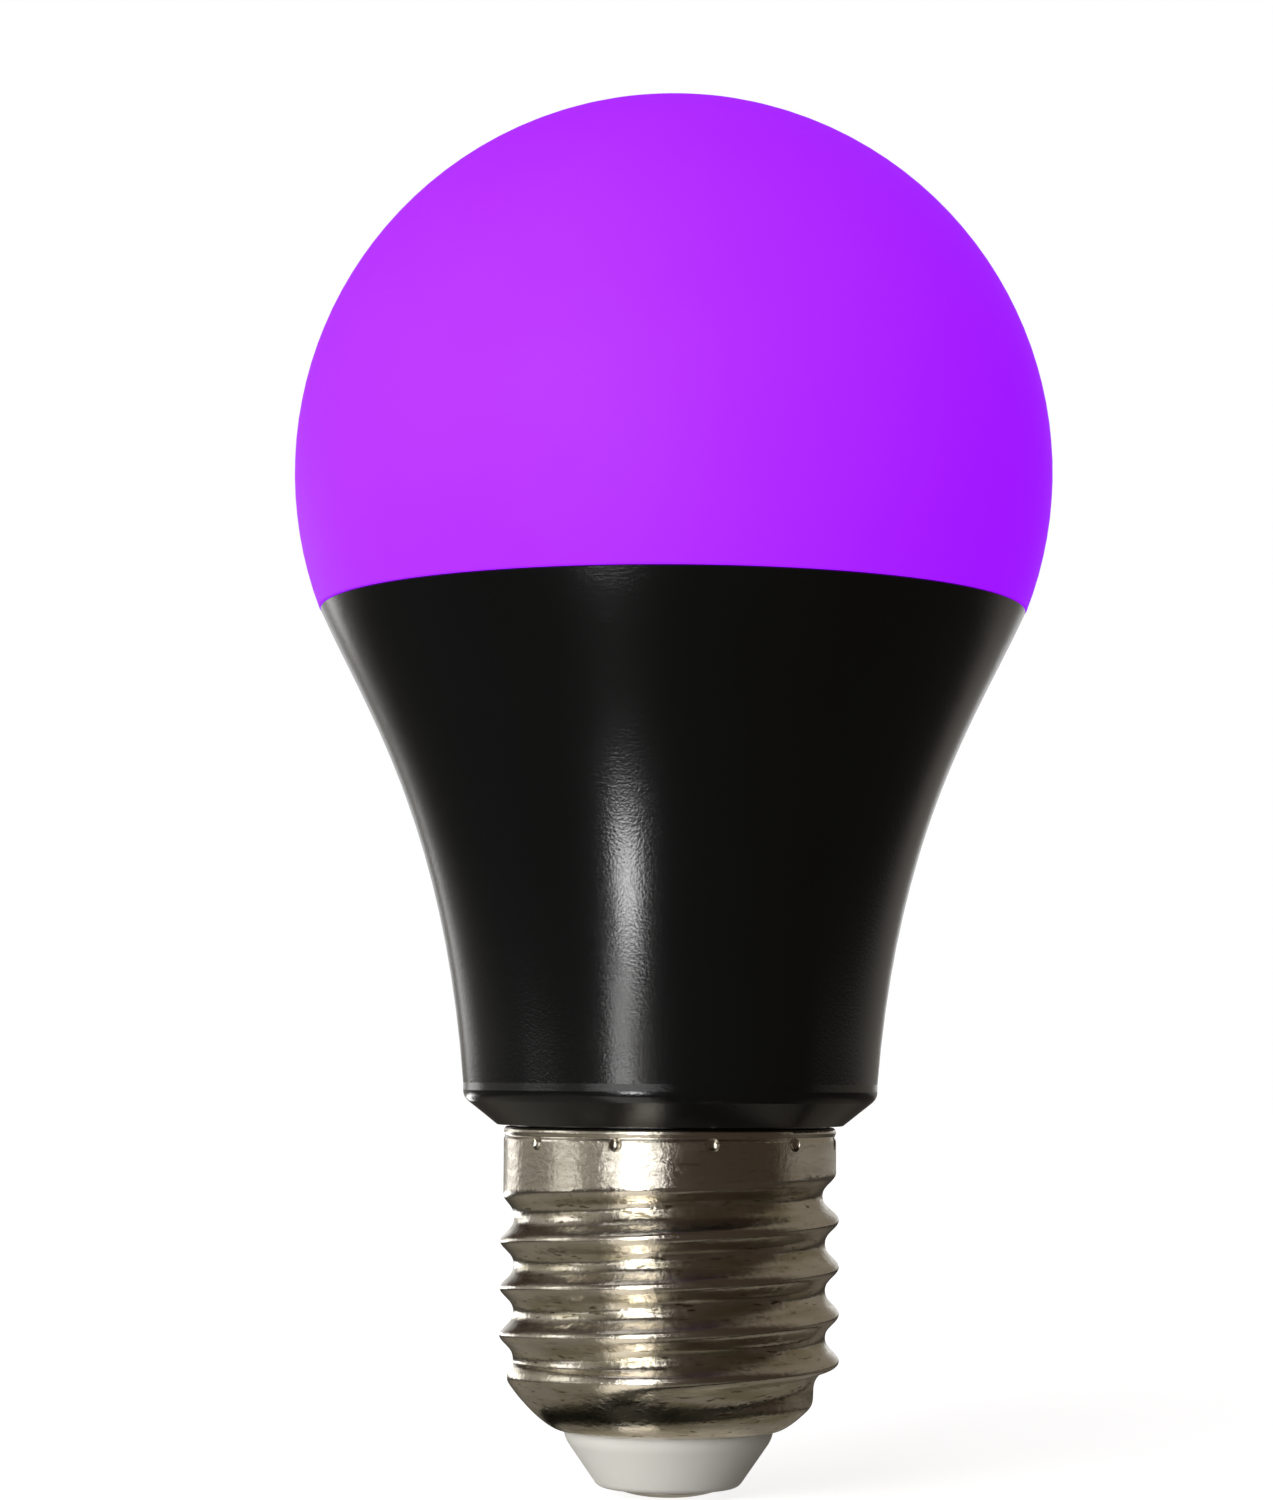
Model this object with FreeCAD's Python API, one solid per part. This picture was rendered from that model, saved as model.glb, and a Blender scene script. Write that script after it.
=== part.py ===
import FreeCAD, Part
import math
import os

# Screw-base black light bulb in millimetres.
# The origin is the apex of the centre contact, and +Z runs up the bulb's axis to the globe.

# Overall sizes
TOTAL_HEIGHT = 110.0
GLOBE_DIAMETER = 60.0

# Seam between the globe and the housing
SEAM_DROP = 11.0
SEAM_BEVEL = 0.09
SPIGOT_INSET = 3.4
SPIGOT_DEPTH = 3.0
SPIGOT_BEVEL = 0.5
SPIGOT_CLEARANCE = 0.1
SPIGOT_FLOOR_GAP = 0.15

# Flared housing; the reaches are shares of the flare's height
FLARE_BOTTOM = 30.75
FLARE_BOTTOM_RADIUS = 16.22
FLARE_BOTTOM_LEAN = 4.8
FLARE_BOTTOM_REACH = 0.541
FLARE_TOP_LEAN = 24.4
FLARE_TOP_REACH = 0.222
FLARE_EDGE_ROUNDING = 1.1
BEVEL_HEIGHT = 2.15
BEVEL_WIDTH = 2.7
BEVEL_EDGE_ROUNDING = 0.25
RIM_GAP = 0.1

# Screw shell, drawn from thin sheet
SHEET = 0.3
COLLAR_DIAMETER = 26.0
COLLAR_HEIGHT = 2.3
RIM_ROUNDING = 0.35
RIM_GROOVE_DROP = 0.72
RIM_GROOVE_WIDTH = 0.55
RIM_GROOVE_DEPTH = 0.12

# Rolled knuckle thread, seven turns to the inch and right-handed
THREAD_PITCH = 25.4 / 7
THREAD_DIAMETER = 26.45
THREAD_DEPTH = 1.08
THREAD_SHARPNESS = 0.14
THREAD_TOP_DROP = 0.215
THREAD_END_ANGLE = 100.0
THREAD_TURNS = 4.66
THREAD_FADE_TURNS = 0.3
SWELL_START_TURNS = 0.75
SWELL_TURNS = 0.5
ROWS_PER_PITCH = 8
COLUMNS = 36

# Rounded lower bowl of the shell and its inner lip
SHOULDER_HEIGHT = 10.4
SHOULDER_REACH = 1.5
LIP_HEIGHT = 5.1
LIP_RADIUS = 8.4
LIP_REACH = 1.35

# Punched crimps that hold the shell on the housing's neck
CRIMP_COUNT = 11
CRIMP_WIDTH = 1.15
CRIMP_DEPTH = 0.34
CRIMP_DROP = 1.17
CRIMP_ANGLE = -76.3

# Housing neck inside the shell
NECK_CLEARANCE = 0.08
NECK_THREAD_CLEARANCE = 0.12

# White insulator, a plug that fills the bowl and stands out of its lip
INSULATOR_CLEARANCE = 0.08
CONE_HEIGHT = 3.9
CONE_ROUNDING = 2.4
CONE_BOTTOM_RADIUS = 5.45
CONE_BOTTOM_ROUNDING = 0.9
PLUG_RADIUS = 9.8
PLUG_RISE = 0.4
PLUG_CURVE_SHARE = 0.7
PLUG_CURVE_STEPS = 7

# Riveted centre contact
CONTACT_HEAD = 0.7
CONTACT_EDGE = 0.2
CONTACT_RADIUS = 3.9
CONTACT_FLAT_RADIUS = 1.0
SHANK_RADIUS = 1.6
SHANK_LENGTH = 5.0
SHANK_CLEARANCE = 0.05

# Places that several pieces share
GLOBE_RADIUS = GLOBE_DIAMETER / 2
GLOBE_CENTRE = TOTAL_HEIGHT - GLOBE_RADIUS
SEAM_HEIGHT = GLOBE_CENTRE - SEAM_DROP
SEAM_RADIUS = math.sqrt(GLOBE_RADIUS ** 2 - SEAM_DROP ** 2)
SPIGOT_RADIUS = SEAM_RADIUS - SPIGOT_INSET
HOUSING_BOTTOM = FLARE_BOTTOM - BEVEL_HEIGHT
BEVEL_BOTTOM_RADIUS = FLARE_BOTTOM_RADIUS - BEVEL_WIDTH
SHELL_TOP = HOUSING_BOTTOM - RIM_GAP
COLLAR_RADIUS = COLLAR_DIAMETER / 2
COLLAR_BOTTOM = SHELL_TOP - COLLAR_HEIGHT
CRIMP_HEIGHT = SHELL_TOP - CRIMP_DROP
CREST_RADIUS = THREAD_DIAMETER / 2
THREAD_TOP = COLLAR_BOTTOM - THREAD_TOP_DROP
PLUG_TOP = SHOULDER_HEIGHT + PLUG_RISE


def at(radius, height):
    return FreeCAD.Vector(radius, 0, height)


def leaning(start, length, lean):
    """The point that lies a length from start, leaning outwards from the vertical by an angle."""
    angle = math.radians(lean)
    return start + at(length * math.sin(angle), length * math.cos(angle))


def rounded(corners):
    """Edges through corners of (radius, height, rounding), with an arc at each rounded corner."""
    points = [at(radius, height) for radius, height, _ in corners]
    edges = []
    start = points[0]
    for before, corner, after, (_, _, rounding) in zip(points, points[1:], points[2:], corners[1:]):
        if not rounding:
            edges.append(Part.makeLine(start, corner))
            start = corner
            continue
        back = (before - corner).normalize()
        ahead = (after - corner).normalize()
        half = back.getAngle(ahead) / 2
        middle = (back + ahead).normalize()
        first = corner + back * (rounding / math.tan(half))
        last = corner + ahead * (rounding / math.tan(half))
        crown = corner + middle * (rounding / math.sin(half) - rounding)
        if start.distanceToPoint(first) > Part.Precision.confusion():
            edges.append(Part.makeLine(start, first))
        edges.append(Part.Arc(first, crown, last).toShape())
        start = last
    edges.append(Part.makeLine(start, points[-1]))
    return edges


def turned(edges):
    """Sweeps joined profile edges through a full turn about the bulb's axis."""
    return Part.Wire(edges).revolve(at(0, 0), FreeCAD.Vector(0, 0, 1), 360)


def turned_solid(edges):
    profile = Part.Face(Part.Wire(edges))
    return profile.revolve(at(0, 0), FreeCAD.Vector(0, 0, 1), 360)


def bezier(*poles):
    curve = Part.BezierCurve()
    curve.setPoles(list(poles))
    return curve


def smooth_step(value):
    value = min(max(value, 0.0), 1.0)
    return value * value * (3 - 2 * value)


def flare_curve():
    height = SEAM_HEIGHT - FLARE_BOTTOM
    bottom = at(FLARE_BOTTOM_RADIUS, FLARE_BOTTOM + FLARE_EDGE_ROUNDING)
    top = at(SEAM_RADIUS - SEAM_BEVEL, SEAM_HEIGHT - SEAM_BEVEL)
    return bezier(
        bottom,
        leaning(bottom, height * FLARE_BOTTOM_REACH, FLARE_BOTTOM_LEAN),
        leaning(top, -height * FLARE_TOP_REACH, FLARE_TOP_LEAN),
        top,
    )


def make_globe():
    """Ball above the seam, with the spigot that seats it in the housing's rim."""
    seam_angle = math.asin((SEAM_HEIGHT + SEAM_BEVEL - GLOBE_CENTRE) / GLOBE_RADIUS)
    middle_angle = (seam_angle + math.pi / 2) / 2
    centre = at(0, GLOBE_CENTRE)
    top = centre + at(0, GLOBE_RADIUS)
    middle = centre + at(math.cos(middle_angle), math.sin(middle_angle)) * GLOBE_RADIUS
    edge = centre + at(math.cos(seam_angle), math.sin(seam_angle)) * GLOBE_RADIUS
    spigot_bottom = SEAM_HEIGHT - SPIGOT_DEPTH
    under = rounded([
        (edge.x, edge.z, 0),
        (edge.x - SEAM_BEVEL, SEAM_HEIGHT, 0),
        (SPIGOT_RADIUS, SEAM_HEIGHT, 0),
        (SPIGOT_RADIUS, spigot_bottom + SPIGOT_BEVEL, 0),
        (SPIGOT_RADIUS - SPIGOT_BEVEL, spigot_bottom, 0),
        (0, spigot_bottom, 0),
    ])
    axis = Part.makeLine(at(0, spigot_bottom), top)
    return turned_solid([Part.Arc(top, middle, edge).toShape()] + under + [axis])


def neck_outline():
    """The neck's side from the housing's underside down, with its waist behind the crimps."""
    waist_radius = COLLAR_RADIUS - CRIMP_DEPTH - SHEET - NECK_CLEARANCE
    waist_bottom = CRIMP_HEIGHT - CRIMP_WIDTH / 2 - SHEET
    seat_radius = COLLAR_RADIUS - SHEET - NECK_CLEARANCE
    seat_bottom = COLLAR_BOTTOM + NECK_CLEARANCE
    thread_radius = min(COLLAR_RADIUS, CREST_RADIUS) - THREAD_DEPTH - SHEET - NECK_THREAD_CLEARANCE
    return [
        (waist_radius, HOUSING_BOTTOM, 0),
        (waist_radius, waist_bottom, 0),
        (seat_radius, waist_bottom, 0),
        (seat_radius, seat_bottom, 0),
        (thread_radius, seat_bottom, 0),
        (thread_radius, PLUG_TOP, 0),
        (0, PLUG_TOP, 0),
    ]


def make_housing():
    """Flared housing with a bevelled foot, a recess for the globe and the neck inside the shell."""
    flare = flare_curve()
    bottom, top = flare.StartPoint, flare.EndPoint
    recess_radius = SPIGOT_RADIUS + SPIGOT_CLEARANCE
    recess_floor = SEAM_HEIGHT - SPIGOT_DEPTH - SPIGOT_FLOOR_GAP
    recess = rounded([
        (0, recess_floor, 0),
        (recess_radius, recess_floor, 0),
        (recess_radius, SEAM_HEIGHT, 0),
        (SEAM_RADIUS - 2 * SEAM_BEVEL, SEAM_HEIGHT, 0),
        (top.x, top.z, 0),
    ])
    foot = rounded([
        (bottom.x, bottom.z, 0),
        (FLARE_BOTTOM_RADIUS, FLARE_BOTTOM, FLARE_EDGE_ROUNDING),
        (BEVEL_BOTTOM_RADIUS, HOUSING_BOTTOM, BEVEL_EDGE_ROUNDING),
    ] + neck_outline())
    axis = Part.makeLine(at(0, PLUG_TOP), at(0, recess_floor))
    return turned_solid(recess + [flare.toShape()] + foot + [axis])


def bowl_curve():
    """Outer side of the shell below the thread, from the last full crest in to the lip."""
    return bezier(
        at(CREST_RADIUS, SHOULDER_HEIGHT),
        at(CREST_RADIUS, SHOULDER_HEIGHT - SHOULDER_REACH),
        at(LIP_RADIUS + LIP_REACH, LIP_HEIGHT),
        at(LIP_RADIUS, LIP_HEIGHT),
    )


def thread_sink(height, angle):
    """How far the rolled groove, faded at both ends, lies below its crest line."""
    turns_from_end = (math.radians(THREAD_END_ANGLE) - angle) / (2 * math.pi) % 1
    turns_below = (THREAD_TOP - height) / THREAD_PITCH - turns_from_end
    turns_run = math.floor(turns_below) + turns_from_end
    fade = smooth_step(min(turns_run, THREAD_TURNS - turns_run) / THREAD_FADE_TURNS)
    phase = 2 * math.pi * turns_below
    ridge = math.cos(phase) + THREAD_SHARPNESS * math.cos(2 * phase)
    return THREAD_DEPTH * fade * (1 + THREAD_SHARPNESS - ridge) / 2


def crest_radius(height):
    """Radius over the ridges, which swell from the collar's size to the thread's own."""
    turns = (THREAD_TOP - height) / THREAD_PITCH
    swell = smooth_step((turns - SWELL_START_TURNS) / SWELL_TURNS)
    return COLLAR_RADIUS + (CREST_RADIUS - COLLAR_RADIUS) * swell


def sheet_stations():
    """Points of the shell's crest line from the collar down to the lip, each with its normal."""
    spacing = THREAD_PITCH / ROWS_PER_PITCH
    bowl = bowl_curve()
    upper_rows = math.ceil((COLLAR_BOTTOM - SHOULDER_HEIGHT) / spacing)
    bowl_rows = math.ceil(bowl.length() / spacing)
    stations = []
    for row in range(upper_rows):
        height = COLLAR_BOTTOM - (COLLAR_BOTTOM - SHOULDER_HEIGHT) * row / upper_rows
        stations.append((at(crest_radius(height), height), at(1, 0)))
    for row in range(bowl_rows + 1):
        place = bowl.parameterAtDistance(bowl.length() * row / bowl_rows, bowl.FirstParameter)
        tangent = bowl.tangent(place)[0]
        stations.append((bowl.value(place), at(-tangent.z, tangent.x)))
    return stations


def rolled_skin(stations, inset):
    """Smooth periodic skin of the rolled sheet, an inset below its crest line and thread."""
    step = 2 * math.pi / COLUMNS
    smoothing = (33 + 26 * math.cos(step) + math.cos(2 * step)) / 60
    rows = list(range(len(stations)))
    poles = []
    for column in range(COLUMNS):
        angle = step * (column - 2)
        outwards = FreeCAD.Vector(math.cos(angle), math.sin(angle), 0) * (1 / smoothing)
        line = []
        for crest, normal in stations:
            place = crest - normal * (inset + thread_sink(crest.z, angle))
            line.append(outwards * place.x + FreeCAD.Vector(0, 0, place.z))
        curve = Part.BSplineCurve()
        curve.interpolate(Points=line, Parameters=rows)
        poles.append(curve.getPoles())
    skin = Part.BSplineSurface()
    skin.buildFromPolesMultsKnots(
        poles,
        [1] * (COLUMNS + 1),
        curve.getMultiplicities(),
        list(range(COLUMNS + 1)),
        curve.getKnots(),
        True, False, 5, 3,
    )
    return skin.toShape()


def collar_outline():
    """Collar from the thread's top, over the grooved and rounded rim, and down its inside."""
    groove = SHELL_TOP - RIM_GROOVE_DROP
    groove_half = RIM_GROOVE_WIDTH / 2
    groove_bend = RIM_GROOVE_WIDTH / 2
    outside = [
        (0.0, COLLAR_BOTTOM, 0),
        (0.0, groove - groove_half, groove_bend),
        (-RIM_GROOVE_DEPTH, groove, groove_bend / 2),
        (0.0, groove + groove_half, groove_bend / 2),
        (0.0, SHELL_TOP, RIM_ROUNDING),
    ]
    inside = [
        (-SHEET - RIM_GROOVE_DEPTH, SHELL_TOP, 0),
        (-SHEET - RIM_GROOVE_DEPTH, groove - groove_half, 0),
        (-SHEET, groove - groove_half - RIM_GROOVE_DEPTH, 0),
        (-SHEET, COLLAR_BOTTOM, 0),
    ]
    return [(COLLAR_RADIUS + radius, height, rounding) for radius, height, rounding in outside + inside]


def crimp_radius():
    """Radius of the ball that presses a crimp of its width and depth."""
    return (CRIMP_WIDTH ** 2 / 4 + CRIMP_DEPTH ** 2) / (2 * CRIMP_DEPTH)


def crimp_balls(radius):
    """Balls of one radius at the punch's place on every crimp round the collar."""
    centre = COLLAR_RADIUS - CRIMP_DEPTH + crimp_radius()
    ball = Part.makeSphere(radius, at(centre, CRIMP_HEIGHT))
    balls = []
    for count in range(CRIMP_COUNT):
        copy = ball.copy()
        copy.rotate(at(0, 0), FreeCAD.Vector(0, 0, 1), CRIMP_ANGLE + 360 * count / CRIMP_COUNT)
        balls.append(copy)
    return balls


def crimped(sheet):
    """Presses the crimps into the collar: a dent outside and its bulge inside."""
    inner_half = Part.makeCylinder(COLLAR_RADIUS - SHEET / 2, SHELL_TOP)
    bulges = [ball.common(inner_half) for ball in crimp_balls(crimp_radius() + SHEET)]
    return sheet.fuse(bulges).cut(crimp_balls(crimp_radius()))


def make_screw_shell():
    """Thin sheet shell: grooved collar, rolled thread, bowl and inner lip, with punched crimps."""
    stations = sheet_stations()
    lip, lip_normal = stations[-1]
    lip_inner = lip - lip_normal * SHEET
    lip_nose = (lip + lip_inner) * 0.5 - at(SHEET / 2, 0)
    skins = [
        rolled_skin(stations, 0),
        rolled_skin(stations, SHEET),
        turned(rounded(collar_outline())),
        turned([Part.Arc(lip, lip_nose, lip_inner).toShape()]),
    ]
    sheet = Part.makeCompound([face for skin in skins for face in skin.Faces])
    sheet.sewShape()
    return crimped(Part.Solid(sheet.Shells[0]))


def plug_curve():
    """Underside of the insulator's plug, a clearance inside the shell's bowl."""
    bowl = bowl_curve()
    inset = SHEET + INSULATOR_CLEARANCE
    points = []
    for step in range(PLUG_CURVE_STEPS + 1):
        place = 1 - PLUG_CURVE_SHARE * step / PLUG_CURVE_STEPS
        tangent = bowl.tangent(place)[0]
        points.append(bowl.value(place) - at(-tangent.z, tangent.x) * inset)
    curve = Part.BSplineCurve()
    curve.interpolate(points)
    side = Part.LineSegment(at(PLUG_RADIUS, LIP_HEIGHT), at(PLUG_RADIUS, PLUG_TOP))
    crossing = curve.intersectCC(side)[0]
    curve.segment(curve.FirstParameter, curve.parameter(at(crossing.X, crossing.Z)))
    return curve


def make_insulator():
    """White cone that carries the contact, with the plug that the shell's bowl holds."""
    stem_radius = LIP_RADIUS - SHEET / 2 - INSULATOR_CLEARANCE
    underside = plug_curve()
    start, end = underside.StartPoint, underside.EndPoint
    bore_radius = SHANK_RADIUS + SHANK_CLEARANCE
    bore_top = CONTACT_HEAD + SHANK_LENGTH + SHANK_CLEARANCE
    cone = rounded([
        (bore_radius, CONTACT_HEAD, 0),
        (CONE_BOTTOM_RADIUS, CONTACT_HEAD, CONE_BOTTOM_ROUNDING),
        (stem_radius, CONTACT_HEAD + CONE_HEIGHT, CONE_ROUNDING),
        (stem_radius, start.z, 0),
        (start.x, start.z, 0),
    ])
    inside = rounded([
        (end.x, end.z, 0),
        (end.x, PLUG_TOP, 0),
        (0, PLUG_TOP, 0),
        (0, bore_top, 0),
        (bore_radius, bore_top, 0),
        (bore_radius, CONTACT_HEAD, 0),
    ])
    return turned_solid(cone + [underside.toShape()] + inside)


def make_centre_contact():
    """Domed contact button with a flat apex and a shank up the insulator's bore."""
    run = CONTACT_RADIUS - CONTACT_FLAT_RADIUS
    rise = CONTACT_HEAD - CONTACT_EDGE
    dome_radius = (run ** 2 + rise ** 2) / (2 * rise)
    middle_angle = math.asin(run / dome_radius) / 2
    flat_edge = at(CONTACT_FLAT_RADIUS, 0)
    middle = flat_edge + at(math.sin(middle_angle), 1 - math.cos(middle_angle)) * dome_radius
    dome = Part.Arc(flat_edge, middle, at(CONTACT_RADIUS, rise)).toShape()
    top = CONTACT_HEAD + SHANK_LENGTH
    shank = rounded([
        (CONTACT_RADIUS, rise, 0),
        (CONTACT_RADIUS, CONTACT_HEAD, 0),
        (SHANK_RADIUS, CONTACT_HEAD, 0),
        (SHANK_RADIUS, top, 0),
        (0, top, 0),
        (0, 0, 0),
        (CONTACT_FLAT_RADIUS, 0, 0),
    ])
    return turned_solid([dome] + shank)


PARTS = {
    "globe": make_globe,
    "housing": make_housing,
    "screw_shell": make_screw_shell,
    "insulator": make_insulator,
    "centre_contact": make_centre_contact,
}

os.makedirs("parts", exist_ok=True)
for name, make in PARTS.items():
    make().exportStep("parts/" + name + ".step")
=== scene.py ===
import math

import bpy
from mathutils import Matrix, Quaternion, Vector

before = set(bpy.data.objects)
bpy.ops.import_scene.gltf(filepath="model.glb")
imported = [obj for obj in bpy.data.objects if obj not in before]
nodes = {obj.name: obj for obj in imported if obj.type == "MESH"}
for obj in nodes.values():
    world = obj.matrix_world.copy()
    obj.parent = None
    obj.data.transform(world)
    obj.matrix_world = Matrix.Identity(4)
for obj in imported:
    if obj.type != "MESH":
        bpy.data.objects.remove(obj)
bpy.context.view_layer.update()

# Camera, with its place in metres, its angles in degrees, and its lens and sensor in millimetres
CAMERA_PLACE = Vector((-0.0028, -0.28535, 0.0325))
CAMERA_PITCH = 5.125
CAMERA_ROLL = 0.35
CAMERA_LENS = 86.98
SENSOR_LONG_SIDE = 36.0

# Floor, in metres, with its front edge below the camera's view so that the metal shows a dark room there
FLOOR_HALF_WIDTH = 1.5
FLOOR_FRONT = -0.045
FLOOR_BACK = 3.0

# The floor's own colour, and its white glow for the camera, beside the bulb and far from it
WHITE = (1, 1, 1, 1)
FLOOR_GREY = (0.5, 0.5, 0.5, 1)
FLOOR_GLOW = (0.84, 1.0)
FLOOR_GLOW_EDGE = (0.08, 0.30)

# Colours of the room that the metal and the black housing reflect
BROWN = (0.060, 0.048, 0.037, 1)
ROOM = (0.055, 0.040, 0.030, 1)
ROOM_LEFT = (0.38, 0.36, 0.32, 1)
ROOM_RIGHT = (0.25, 0.22, 0.18, 1)
ROOM_GLARE = (0.78, 0.74, 0.66, 1)

# Painted light and shade on the floor that they reflect, shown to them in place of the lit floor
FLOOR_LEFT = (0.25, 0.23, 0.19, 1)
FLOOR_BEHIND = (0.15, 0.13, 0.105, 1)
FLOOR_NEAR_PAINTED_LIGHT = (0.22, 0.20, 0.165, 1)
FLOOR_GLARE = (1.15, 1.08, 0.96, 1)
FLOOR_SHADE = (0.006, 0.006, 0.004, 1)
FLOOR_UNDER_PAINTED_LIGHT = (0.45, 0.41, 0.35, 1)
FLOOR_MIDDLE = (0.060, 0.053, 0.046, 1)
FLOOR_FAR = (0.30, 0.28, 0.25, 1)

# Distances from the bulb's axis over which the floor's painted light and shade change, in metres
UNDER_EDGE = (0.0070, 0.0095)
NEAR_EDGE = (0.021, 0.026)
MIDDLE_EDGE = (0.060, 0.095)
FAR_EDGE = (0.25, 0.40)

# Edges in a direction from the bulb, whose parts X, Y and Z point right, back and up
FLOOR_LEFT_EDGE = (-0.80, -0.35)
FLOOR_RIGHT_EDGE = (0.0, 0.5)
ROOM_LEFT_EDGE = (-0.85, -0.60)
ROOM_RIGHT_EDGE = (0.0, 0.3)
BEHIND_EDGE = (-0.2, 0.2)
BACKDROP_EDGE = (0.88, 0.97)
ROOM_BOTTOM_EDGE = (-0.16, -0.08)
GLARE_TOP_EDGE = (-0.08, -0.02)

# The bulb's painted shadow on the floor, in metres, a ring whose front the metal bowl reflects
SHADE_CENTRE = (0.008, 0.006, 0)
SHADE_INNER_EDGE = (0.0192, 0.0204)
SHADE_OUTER_EDGE = (0.0230, 0.0242)

# The window's glare, painted on the floor and shown by the room, lies in a wedge towards it
GLARE_AZIMUTH = math.radians(-24)
GLARE_DIRECTION = (math.sin(GLARE_AZIMUTH), -math.cos(GLARE_AZIMUTH), 0)
FLOOR_GLARE_EDGE = (0.955, 0.985)
ROOM_GLARE_EDGE = (0.950, 0.975)

# Radii of the shell's thread between which its tarnish fades
GROOVE_RADIUS = 0.0122
CREST_RADIUS = 0.0130


class Nodes:
    """A material's or world's node tree, with short calls for its nodes and links."""

    def __init__(self, owner):
        owner.use_nodes = True
        self.tree = owner.node_tree
        self.tree.nodes.clear()

    def fill(self, socket, value):
        if isinstance(value, bpy.types.NodeSocket):
            self.tree.links.new(value, socket)
        else:
            socket.default_value = value

    def add(self, kind, inputs=None, **settings):
        node = self.tree.nodes.new(kind)
        for name, value in settings.items():
            setattr(node, name, value)
        for name, value in (inputs or {}).items():
            self.fill(node.inputs[name], value)
        return node

    def place(self):
        return self.add("ShaderNodeTexCoord").outputs["Object"]

    def vector(self, operation, first, second=None, output="Vector"):
        inputs = {0: first} if second is None else {0: first, 1: second}
        return self.add("ShaderNodeVectorMath", inputs, operation=operation).outputs[output]

    def parts(self, vector):
        return self.add("ShaderNodeSeparateXYZ", {0: vector}).outputs

    def noise(self, scale, detail=3.0, place=None):
        inputs = {"Vector": place or self.place(), "Scale": scale, "Detail": detail}
        return self.add("ShaderNodeTexNoise", inputs).outputs["Fac"]

    def spread(self, value, low, high, from_low=0.0, from_high=1.0):
        inputs = {
            "Value": value,
            "From Min": from_low,
            "From Max": from_high,
            "To Min": low,
            "To Max": high,
        }
        return self.add("ShaderNodeMapRange", inputs).outputs["Result"]

    def above(self, value, edge):
        """0 up to the edge's first value, 1 from its second."""
        return self.spread(value, 0.0, 1.0, *edge)

    def below(self, value, edge):
        """1 up to the edge's first value, 0 from its second."""
        return self.spread(value, 1.0, 0.0, *edge)

    def mix_colour(self, factor, first, second):
        # A Mix node keeps its colours in the inputs 6 and 7 and the output 2
        node = self.add("ShaderNodeMix", data_type="RGBA")
        self.fill(node.inputs[0], factor)
        self.fill(node.inputs[6], first)
        self.fill(node.inputs[7], second)
        return node.outputs[2]

    def times(self, first, second):
        return self.add("ShaderNodeMath", {0: first, 1: second}, operation="MULTIPLY").outputs[0]

    def reflected(self):
        """1 on the rays that shiny and clear surfaces send out, 0 on the others."""
        path = self.add("ShaderNodeLightPath").outputs
        inputs = {0: path["Is Glossy Ray"], 1: path["Is Transmission Ray"]}
        return self.add("ShaderNodeMath", inputs, operation="MAXIMUM").outputs[0]

    def bump(self, height, distance, strength=1.0):
        inputs = {"Height": height, "Distance": distance, "Strength": strength}
        return self.add("ShaderNodeBump", inputs).outputs["Normal"]

    def surface(self, shader):
        self.add("ShaderNodeOutputMaterial", {"Surface": shader})

    def principled(self, inputs):
        self.surface(self.add("ShaderNodeBsdfPrincipled", inputs).outputs["BSDF"])


def material(name):
    made = bpy.data.materials.new(name)
    return made, Nodes(made)


def violet_diffuser():
    """Frosted violet globe, lit from within."""
    made, n = material("violet_diffuser")
    mottle = n.noise(60.0)
    frost = n.noise(4000.0, 2.0)
    n.principled({
        "Base Color": n.mix_colour(mottle, (0.115, 0.019, 0.45, 1), (0.135, 0.029, 0.50, 1)),
        "Roughness": n.spread(frost, 0.54, 0.62),
        "Specular IOR Level": 0.12,
        "Emission Color": (0.325, 0.0, 0.97, 1),
        "Emission Strength": 1.0,
        "Normal": n.bump(frost, 0.00002, 0.4),
    })
    return made


def black_housing():
    """Satin black housing with a fine moulded grain."""
    made, n = material("black_housing")
    grain = n.noise(5200.0, 2.0)
    patches = n.noise(90.0)
    n.principled({
        "Base Color": n.mix_colour(patches, (0.0024, 0.0028, 0.0030, 1), (0.0034, 0.0039, 0.0041, 1)),
        "Roughness": n.spread(patches, 0.16, 0.19),
        "IOR": 1.5,
        "Normal": n.bump(grain, 0.000016, 0.7),
    })
    return made


def nickel_shell():
    """Drawn nickel with a warm tarnish and dark specks, most of them down in the thread's grooves."""
    made, n = material("nickel_shell")
    place = n.place()
    radius = n.vector("LENGTH", n.vector("MULTIPLY", place, (1, 1, 0)), output="Value")
    along = n.vector("MULTIPLY", place, (1, 1, 5))
    tarnish = n.noise(170.0, 6.0)
    streaks = n.noise(260.0, 5.0, along)
    flecks = n.noise(800.0, 4.0, along)
    peel = n.noise(2000.0, 2.0)
    grooves = n.spread(radius, 1.0, 0.25, GROOVE_RADIUS, CREST_RADIUS)
    stain = n.times(n.above(streaks, (0.38, 0.62)), grooves)
    specks = n.times(n.above(flecks, (0.60, 0.68)), grooves)
    clean = n.mix_colour(tarnish, (0.62, 0.57, 0.48, 1), (0.70, 0.66, 0.59, 1))
    stained = n.mix_colour(stain, clean, (0.46, 0.42, 0.31, 1))
    n.principled({
        "Base Color": n.mix_colour(specks, stained, (0.20, 0.17, 0.11, 1)),
        "Metallic": 1.0,
        "Roughness": n.spread(streaks, 0.16, 0.27, 0.3, 0.7),
        "Normal": n.bump(peel, 0.00003, 0.9),
    })
    return made


def white_insulator():
    """Matte white moulded insulator."""
    made, n = material("white_insulator")
    cloud = n.noise(120.0, 4.0)
    fine = n.noise(2500.0, 2.0)
    n.principled({
        "Base Color": n.mix_colour(cloud, (0.60, 0.585, 0.54, 1), (0.67, 0.655, 0.615, 1)),
        "Roughness": n.spread(cloud, 0.45, 0.6),
        "Normal": n.bump(fine, 0.00002, 0.3),
    })
    return made


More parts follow.
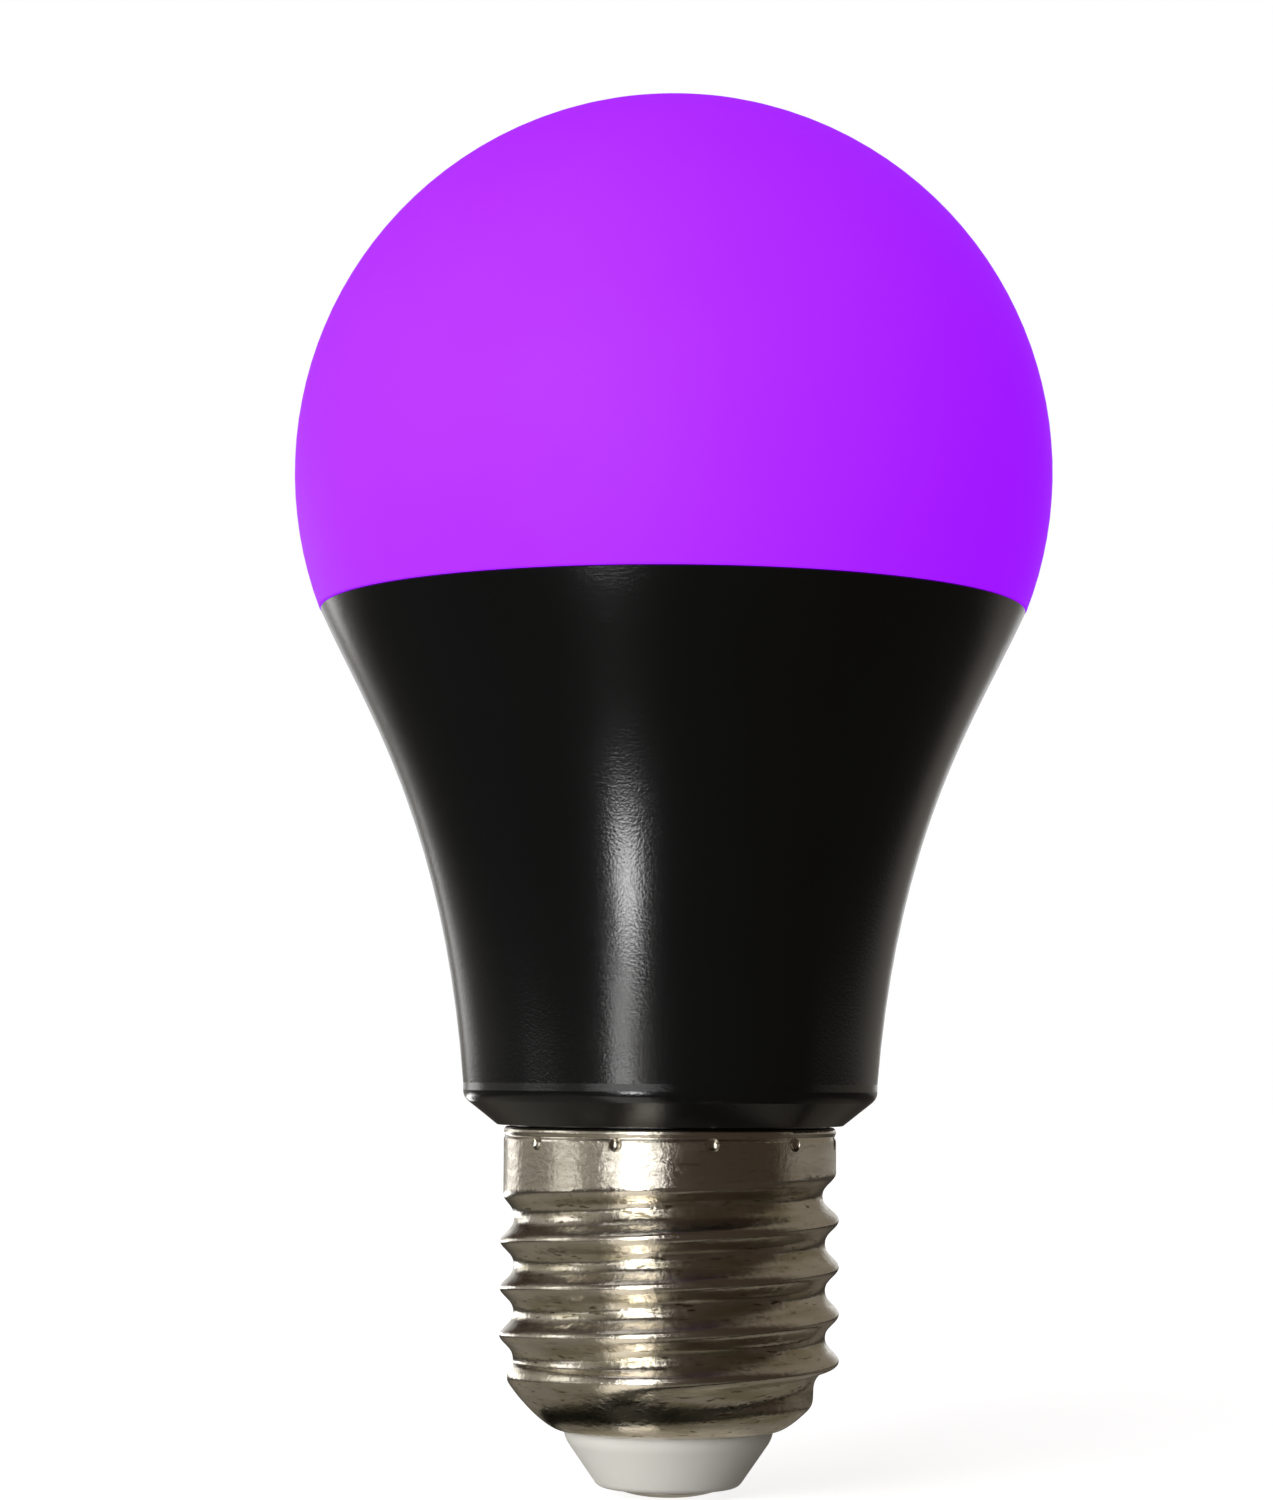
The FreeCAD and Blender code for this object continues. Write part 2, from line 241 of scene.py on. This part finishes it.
def contact_metal():
    """Dull solder-grey contact button."""
    made, n = material("contact_metal")
    scuff = n.noise(900.0, 4.0)
    n.principled({
        "Base Color": n.mix_colour(scuff, (0.42, 0.40, 0.37, 1), (0.58, 0.56, 0.52, 1)),
        "Metallic": 1.0,
        "Roughness": n.spread(scuff, 0.3, 0.5),
        "Normal": n.bump(scuff, 0.00003, 0.4),
    })
    return made


def paint(node, made):
    obj = nodes[node]
    obj.data.materials.clear()
    obj.data.materials.append(made)


def painted_floor_light(n):
    """Painted light and shade of the floor as the metal and the housing see them, each laid over the ones
    before it.
    """
    place = n.place()
    away = n.vector("LENGTH", place, output="Value")
    towards = n.vector("NORMALIZE", place)
    sides = n.parts(towards)
    lamp_side = n.vector("DOT_PRODUCT", towards, GLARE_DIRECTION, output="Value")
    off_centre = n.vector("DISTANCE", place, SHADE_CENTRE, output="Value")
    behind = n.times(n.above(sides["Y"], BEHIND_EDGE), n.above(sides["X"], FLOOR_RIGHT_EDGE))
    # A painted shadow of the bulb, as a ring about SHADE_CENTRE
    shade = n.times(n.above(off_centre, SHADE_INNER_EDGE), n.below(off_centre, SHADE_OUTER_EDGE))
    colour = n.mix_colour(n.below(sides["X"], FLOOR_LEFT_EDGE), BROWN, FLOOR_LEFT)
    colour = n.mix_colour(behind, colour, FLOOR_BEHIND)
    # Painted light on the floor near the bulb
    colour = n.mix_colour(n.below(away, NEAR_EDGE), colour, FLOOR_NEAR_PAINTED_LIGHT)
    # Painted glare of the window on the floor
    colour = n.mix_colour(n.above(lamp_side, FLOOR_GLARE_EDGE), colour, FLOOR_GLARE)
    colour = n.mix_colour(shade, colour, FLOOR_SHADE)
    # Painted light on the floor under the bulb's base
    colour = n.mix_colour(n.below(away, UNDER_EDGE), colour, FLOOR_UNDER_PAINTED_LIGHT)
    colour = n.mix_colour(n.above(away, MIDDLE_EDGE), colour, FLOOR_MIDDLE)
    return n.mix_colour(n.above(away, FAR_EDGE), colour, FLOOR_FAR)


def make_floor():
    """White floor to the camera, with the object's shadow. Reflected rays see painted light and shade on
    it instead.
    """
    made, n = material("pale_floor")
    camera = n.add("ShaderNodeLightPath").outputs["Is Camera Ray"]
    away = n.vector("LENGTH", n.place(), output="Value")
    diffuse = n.add("ShaderNodeBsdfDiffuse", {"Color": FLOOR_GREY}).outputs[0]
    strength = n.times(camera, n.spread(away, *FLOOR_GLOW, *FLOOR_GLOW_EDGE))
    glow = n.add("ShaderNodeEmission", {"Color": WHITE, "Strength": strength}).outputs[0]
    seen = n.add("ShaderNodeAddShader", {0: diffuse, 1: glow}).outputs[0]
    # Reflected rays see the painted light and shade, not the lit floor
    painted_reflection = n.add("ShaderNodeEmission", {"Color": painted_floor_light(n), "Strength": 1.0}).outputs[0]
    n.surface(n.add("ShaderNodeMixShader", {0: n.reflected(), 1: seen, 2: painted_reflection}).outputs[0])

    corners = [
        (-FLOOR_HALF_WIDTH, FLOOR_FRONT, 0),
        (FLOOR_HALF_WIDTH, FLOOR_FRONT, 0),
        (FLOOR_HALF_WIDTH, FLOOR_BACK, 0),
        (-FLOOR_HALF_WIDTH, FLOOR_BACK, 0),
    ]
    mesh = bpy.data.meshes.new("pale_floor")
    mesh.from_pydata(corners, [], [(0, 1, 2, 3)])
    mesh.materials.append(made)
    floor = bpy.data.objects.new("pale_floor", mesh)
    bpy.context.scene.collection.objects.link(floor)


def make_world():
    """White background, and for the light a dim brown room that is paler at the sides."""
    world = bpy.data.worlds.new("room")
    bpy.context.scene.world = world
    n = Nodes(world)
    camera = n.add("ShaderNodeLightPath").outputs["Is Camera Ray"]
    direction = n.add("ShaderNodeTexCoord").outputs["Generated"]
    towards = n.parts(direction)
    lamp_side = n.vector("DOT_PRODUCT", direction, GLARE_DIRECTION, output="Value")
    left = n.below(towards["X"], ROOM_LEFT_EDGE)
    right = n.times(n.above(towards["Y"], BEHIND_EDGE), n.above(towards["X"], ROOM_RIGHT_EDGE))
    over_floor = n.above(towards["Z"], ROOM_BOTTOM_EDGE)
    glare = n.times(n.above(lamp_side, ROOM_GLARE_EDGE), n.below(towards["Z"], GLARE_TOP_EDGE))
    back = n.times(n.above(towards["Y"], BACKDROP_EDGE), n.reflected())
    room = n.mix_colour(left, ROOM, ROOM_LEFT)
    room = n.mix_colour(right, room, ROOM_RIGHT)
    room = n.mix_colour(over_floor, BROWN, room)
    room = n.mix_colour(glare, room, ROOM_GLARE)
    room = n.mix_colour(back, room, WHITE)
    room = n.mix_colour(camera, room, WHITE)
    background = n.add("ShaderNodeBackground", {"Color": room}).outputs[0]
    n.add("ShaderNodeOutputWorld", {"Surface": background})


def lamp(name, azimuth, height, distance, size, radiance, target=None):
    """A rectangular lamp that the camera doesn't see, at an azimuth in degrees from the viewer's side."""
    turn = math.radians(azimuth)
    place = Vector((distance * math.sin(turn), -distance * math.cos(turn), height))
    data = bpy.data.lights.new(name, "AREA")
    data.shape = "RECTANGLE"
    data.size, data.size_y = size
    # A rectangular lamp is as bright as its power over four times its area
    data.energy = 4 * size[0] * size[1] * radiance
    obj = bpy.data.objects.new(name, data)
    bpy.context.scene.collection.objects.link(obj)
    obj.location = place
    obj.rotation_mode = "QUATERNION"
    aim = Vector((0, 0, height if target is None else target))
    obj.rotation_quaternion = (aim - place).to_track_quat("-Z", "Y")
    obj.visible_camera = False
    return obj


def make_lamps():
    """The window and its fill light the object. The cards and strips mostly make its highlights."""
    lamp("window", -24, 0.46, 1.2, (0.54, 0.84), 2.3, target=0.07)
    lamp("window_foot", -25, -0.005, 1.2, (0.92, 0.09), 2.2)
    lamp("window_soft", -25.5, 0.40, 1.25, (0.68, 1.0), 2.75, target=0.07).visible_glossy = False
    lamp("fill", -48, 0.30, 1.0, (0.8, 0.8), 2.4, target=0.05).visible_glossy = False
    lamp("left_card_low", -76, -0.004, 0.6, (0.25, 0.05), 0.95)
    lamp("left_card", -87, 0.21, 0.6, (0.22, 0.24), 1.2)
    lamp("back_card", -140, 0.06, 0.6, (0.22, 0.16), 1.3)
    lamp("ceiling_card", -54, 1.1, 0.52, (0.5, 0.5), 0.6, target=0.03)
    lamp("low_rim", -148, 0.0135, 0.1, (0.036, 0.010), 3.0)
    lamp("strip_upper", -21, -0.038, 0.2, (0.034, 0.024), 18.0, target=0.04)
    lamp("strip_lower", -26, -0.0045, 0.2, (0.038, 0.0065), 14.0, target=0.03)


def make_camera():
    data = bpy.data.cameras.new("camera")
    data.lens = CAMERA_LENS
    data.sensor_width = SENSOR_LONG_SIDE
    data.clip_start = 0.01
    data.clip_end = 20.0
    camera = bpy.data.objects.new("camera", data)
    bpy.context.scene.collection.objects.link(camera)
    camera.location = CAMERA_PLACE
    upright = Quaternion((1, 0, 0), math.radians(90 + CAMERA_PITCH))
    camera.rotation_mode = "QUATERNION"
    camera.rotation_quaternion = upright @ Quaternion((0, 0, 1), math.radians(CAMERA_ROLL))
    bpy.context.scene.camera = camera


paint("globe", violet_diffuser())
paint("housing", black_housing())
paint("screw_shell", nickel_shell())
paint("insulator", white_insulator())
paint("centre_contact", contact_metal())

make_floor()
make_world()
make_lamps()
make_camera()

bpy.context.scene.view_settings.view_transform = "Standard"
